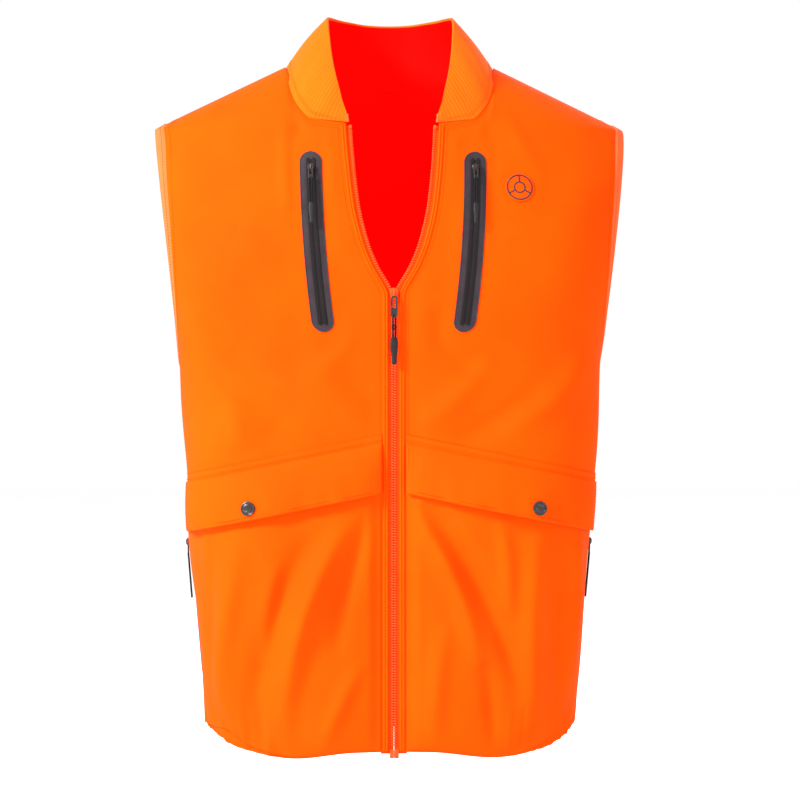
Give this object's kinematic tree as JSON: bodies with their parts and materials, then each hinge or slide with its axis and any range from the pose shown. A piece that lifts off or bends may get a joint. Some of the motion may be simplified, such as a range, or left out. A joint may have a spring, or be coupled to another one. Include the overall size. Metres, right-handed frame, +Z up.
{
  "type": "field vest",
  "caption": "Sleeveless blaze orange field vest with knit collar, front zip, zipped chest pockets and snap-flap lower pockets, filled out as worn.",
  "frame": {"origin": "midpoint between the two points where the collar meets the shoulder line, where the wearer's shoulders or a hanger carry it", "axes": "+Z up, the front faces -Y, +X is the wearer's left"},
  "size_m": [0.4824, 0.2476, 0.7499],
  "materials": {
    "shell": "matte",
    "lining": "matte",
    "collar_knit": "matte",
    "binding": "matte",
    "zip_tape": "matte",
    "zip_moulded": "satin",
    "laminate": "satin",
    "channel": "matte",
    "dark_metal": "satin",
    "dark_moulded": "satin",
    "cord": "matte",
    "mark": "matte"
  },
  "bodies": {
    "garment": {"back_panel": "shell", "collar_shell": "collar_knit", "collar_lining": "lining", "back_lining": "lining", "hem_elastic": "lining", "game_pouch": "shell", "chest_mark": "mark", "hanger_loop": "lining", "zip_retainer_box": "zip_moulded", "zip_insertion_pin": "zip_moulded", "left_front_panel": "shell", "left_zip_tape": "zip_tape", "left_zip_coil": "zip_moulded", "left_zip_placket": "shell", "left_top_stop": "zip_moulded", "left_front_lining": "lining", "left_armhole_binding": "binding", "left_chest_zip_patch": "laminate", "left_chest_zip_coil": "channel", "left_chest_pocket_bag": "lining", "left_pocket": "shell", "left_snap_stud": "dark_metal", "left_side_zip_tape": "laminate", "left_side_zip_coil": "channel", "right_front_panel": "shell", "right_zip_tape": "zip_tape", "right_zip_coil": "zip_moulded", "right_zip_placket": "shell", "right_top_stop": "zip_moulded", "right_front_lining": "lining", "right_armhole_binding": "binding", "right_chest_zip_patch": "laminate", "right_chest_zip_coil": "channel", "right_chest_pocket_bag": "lining", "right_pocket": "shell", "right_snap_stud": "dark_metal", "right_side_zip_tape": "laminate", "right_side_zip_coil": "channel"},
    "main_slider": {"main_slider": "zip_moulded"},
    "main_pull": {"main_pull_tab": "dark_metal", "main_pull_cord": "cord", "main_pull_grip": "dark_moulded"},
    "left_flap": {"left_flap": "shell", "left_snap_cap": "dark_metal", "left_snap_socket": "dark_metal"},
    "left_chest_slider": {"left_chest_slider": "dark_metal"},
    "left_chest_pull": {"left_chest_pull": "cord"},
    "left_side_slider": {"left_side_slider": "dark_metal"},
    "left_side_pull": {"left_side_pull": "cord"},
    "right_flap": {"right_flap": "shell", "right_snap_cap": "dark_metal", "right_snap_socket": "dark_metal"},
    "right_chest_slider": {"right_chest_slider": "dark_metal"},
    "right_chest_pull": {"right_chest_pull": "cord"},
    "right_side_slider": {"right_side_slider": "dark_metal"},
    "right_side_pull": {"right_side_pull": "cord"}
  },
  "joints": [
    {"name": "main_zip_slide", "type": "slide", "parent": "garment", "child": "main_slider", "axis": [0, 0, -1], "range_m": [0, 0.43]},
    {"name": "main_pull_swing", "type": "hinge", "parent": "main_slider", "child": "main_pull", "pos_m": [0, -0.1253, -0.2416], "axis": [-1, 0, 0], "range_deg": [0, 150]},
    {"name": "left_chest_zip_slide", "type": "hinge", "parent": "garment", "child": "left_chest_slider", "pos_m": [-0.10453, 0.33073, -0.22981], "axis": [0.9227, 0.3681, -0.1141], "range_deg": [0, 15.6]},
    {"name": "left_chest_pull_swing", "type": "hinge", "parent": "left_chest_slider", "child": "left_chest_pull", "pos_m": [0.08236, -0.10799, -0.1136], "axis": [-0.9972, -0.066, 0.0344], "range_deg": [0, 150]},
    {"name": "left_flap_lift", "type": "hinge", "parent": "garment", "child": "left_flap", "pos_m": [0.1503, -0.11294, -0.4138], "axis": [-0.949, -0.2482, 0.1945], "range_deg": [0, 50]},
    {"name": "left_side_zip_slide", "type": "slide", "parent": "garment", "child": "left_side_slider", "axis": [-0.0784, 0.1188, -0.9898], "range_m": [0, 0.119]},
    {"name": "left_side_pull_swing", "type": "hinge", "parent": "left_side_slider", "child": "left_side_pull", "pos_m": [0.2087, -0.0026, -0.4912], "axis": [-0.009, -0.9929, -0.1184], "range_deg": [0, 150]},
    {"name": "right_chest_zip_slide", "type": "hinge", "parent": "garment", "child": "right_chest_slider", "pos_m": [0.10453, 0.33073, -0.22981], "axis": [0.9227, -0.3681, 0.1141], "range_deg": [0, 15.6]},
    {"name": "right_chest_pull_swing", "type": "hinge", "parent": "right_chest_slider", "child": "right_chest_pull", "pos_m": [-0.08236, -0.10799, -0.1136], "axis": [-0.9972, 0.066, -0.0344], "range_deg": [0, 150]},
    {"name": "right_flap_lift", "type": "hinge", "parent": "garment", "child": "right_flap", "pos_m": [-0.1503, -0.11294, -0.4138], "axis": [-0.949, 0.2482, -0.1945], "range_deg": [0, 50]},
    {"name": "right_side_zip_slide", "type": "slide", "parent": "garment", "child": "right_side_slider", "axis": [0.0784, 0.1188, -0.9898], "range_m": [0, 0.119]},
    {"name": "right_side_pull_swing", "type": "hinge", "parent": "right_side_slider", "child": "right_side_pull", "pos_m": [-0.2087, -0.0026, -0.4912], "axis": [-0.009, 0.9929, 0.1184], "range_deg": [0, 150]}
  ]
}
